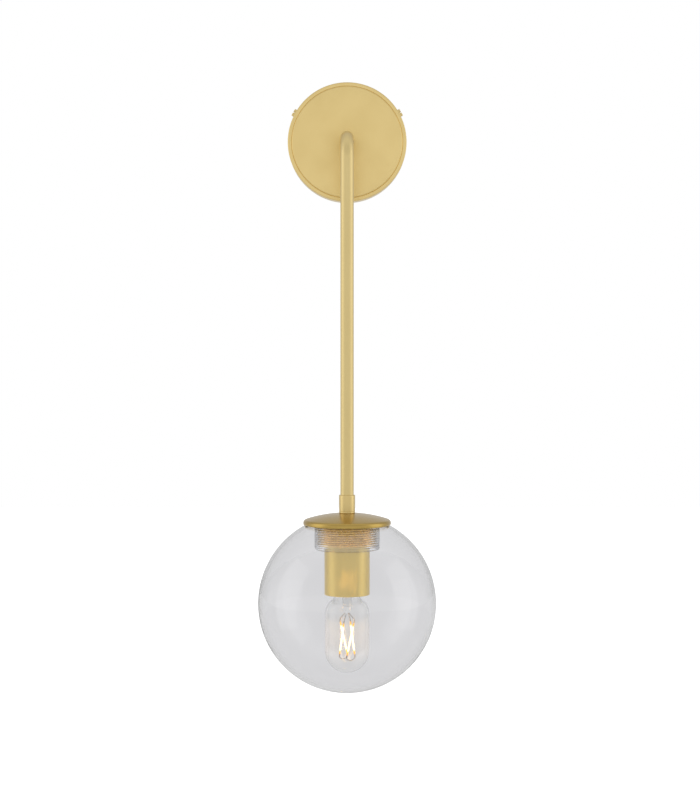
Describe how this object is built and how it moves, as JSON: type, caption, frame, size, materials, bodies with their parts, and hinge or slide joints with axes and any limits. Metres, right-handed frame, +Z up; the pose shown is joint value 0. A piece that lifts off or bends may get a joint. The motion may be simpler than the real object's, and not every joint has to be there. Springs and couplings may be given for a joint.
{
  "type": "globe wall sconce",
  "caption": "Wall light with a round canopy, a bent tube arm with a long drop, and a clear glass globe that screws on to a ring round a tubular filament bulb.",
  "frame": {"origin": "centre of the wall bracket's back face, on the axis of the arm's horizontal run", "axes": "+Y into the wall, so the light faces -Y; +Z up; +X to the right seen from the room"},
  "size_m": [0.178, 0.189, 0.6152],
  "materials": {
    "satin_brass": "satin brushed, lacquered",
    "turned_brass": "turned thread, bright",
    "brass_screw": "satin, slotted",
    "contact_brass": "pressed strip, bright",
    "zinc_steel": "zinc plated",
    "green_screw": "green earth screw",
    "white_plastic": "moulded",
    "black_phenolic": "moulded",
    "white_ceramic": "glazed ceramic, stands in as gloss plastic",
    "clear_silicone": "translucent silicone",
    "clear_glass": "clear blown glass",
    "bulb_glass": "clear thin glass",
    "nickel_base": "rolled nickel-plated brass",
    "black_glass": "black glass",
    "solder": "dull solder",
    "circuit_board": "green laminate",
    "filament_phosphor": "yellow light rods, lit",
    "wire_metal": "drawn wire"
  },
  "bodies": {
    "root": {"wall_bracket": "zinc_steel", "canopy": "satin_brass", "canopy_screws": "brass_screw", "ground_screw": "green_screw", "terminal_block": "white_plastic", "terminal_block_screws": "zinc_steel", "arm_tube": "satin_brass", "arm_plate": "zinc_steel", "arm_nipple": "zinc_steel", "arm_lock_washer": "zinc_steel", "arm_nut": "zinc_steel", "ferrule": "satin_brass", "stem_nipple": "zinc_steel", "dome_cap": "satin_brass", "shade_ring": "turned_brass", "socket_cup": "satin_brass", "cup_lock_washer": "zinc_steel", "cup_nut": "zinc_steel", "lampholder_cap": "black_phenolic", "lampholder_body": "black_phenolic", "lampholder_insert": "white_ceramic", "lampholder_screw_shell": "contact_brass", "lampholder_centre_contact": "contact_brass", "lampholder_terminals": "contact_brass"},
    "globe_carrier": {"globe_gasket": "clear_silicone"},
    "globe": {"glass_globe_upper": "clear_glass", "glass_globe_lower": "clear_glass", "glass_globe_bottom": "clear_glass", "globe_collar": "clear_glass"},
    "bulb_carrier": {"bulb_base_contact": "solder"},
    "bulb": {"bulb_glass": "bulb_glass", "bulb_base_shell": "nickel_base", "bulb_base_insulator": "black_glass", "bulb_driver_board": "circuit_board", "bulb_mount": "bulb_glass", "bulb_filaments": "filament_phosphor", "bulb_filament_tabs": "wire_metal", "bulb_lead_wires": "wire_metal"}
  },
  "joints": [
    {"name": "globe_lower", "type": "slide", "parent": "root", "child": "globe_carrier", "axis": [0, 0, -1], "range_m": [0, 0.0198]},
    {"name": "globe_unscrew", "type": "hinge", "parent": "globe_carrier", "child": "globe", "pos_m": [0, -0.1, -0.4652], "axis": [0, 0, -1], "range_deg": [0, 3240]},
    {"name": "bulb_lower", "type": "slide", "parent": "root", "child": "bulb_carrier", "axis": [0, 0, -1], "range_m": [0, 0.01452]},
    {"name": "bulb_unscrew", "type": "hinge", "parent": "bulb_carrier", "child": "bulb", "pos_m": [0, -0.1, -0.48], "axis": [0, 0, -1], "range_deg": [0, 1440]}
  ],
  "couplings": [
    {"joint": "globe_lower", "follows": "globe_unscrew", "m_per_rad": 0.00035014},
    {"joint": "bulb_lower", "follows": "bulb_unscrew", "m_per_rad": 0.00057751}
  ]
}
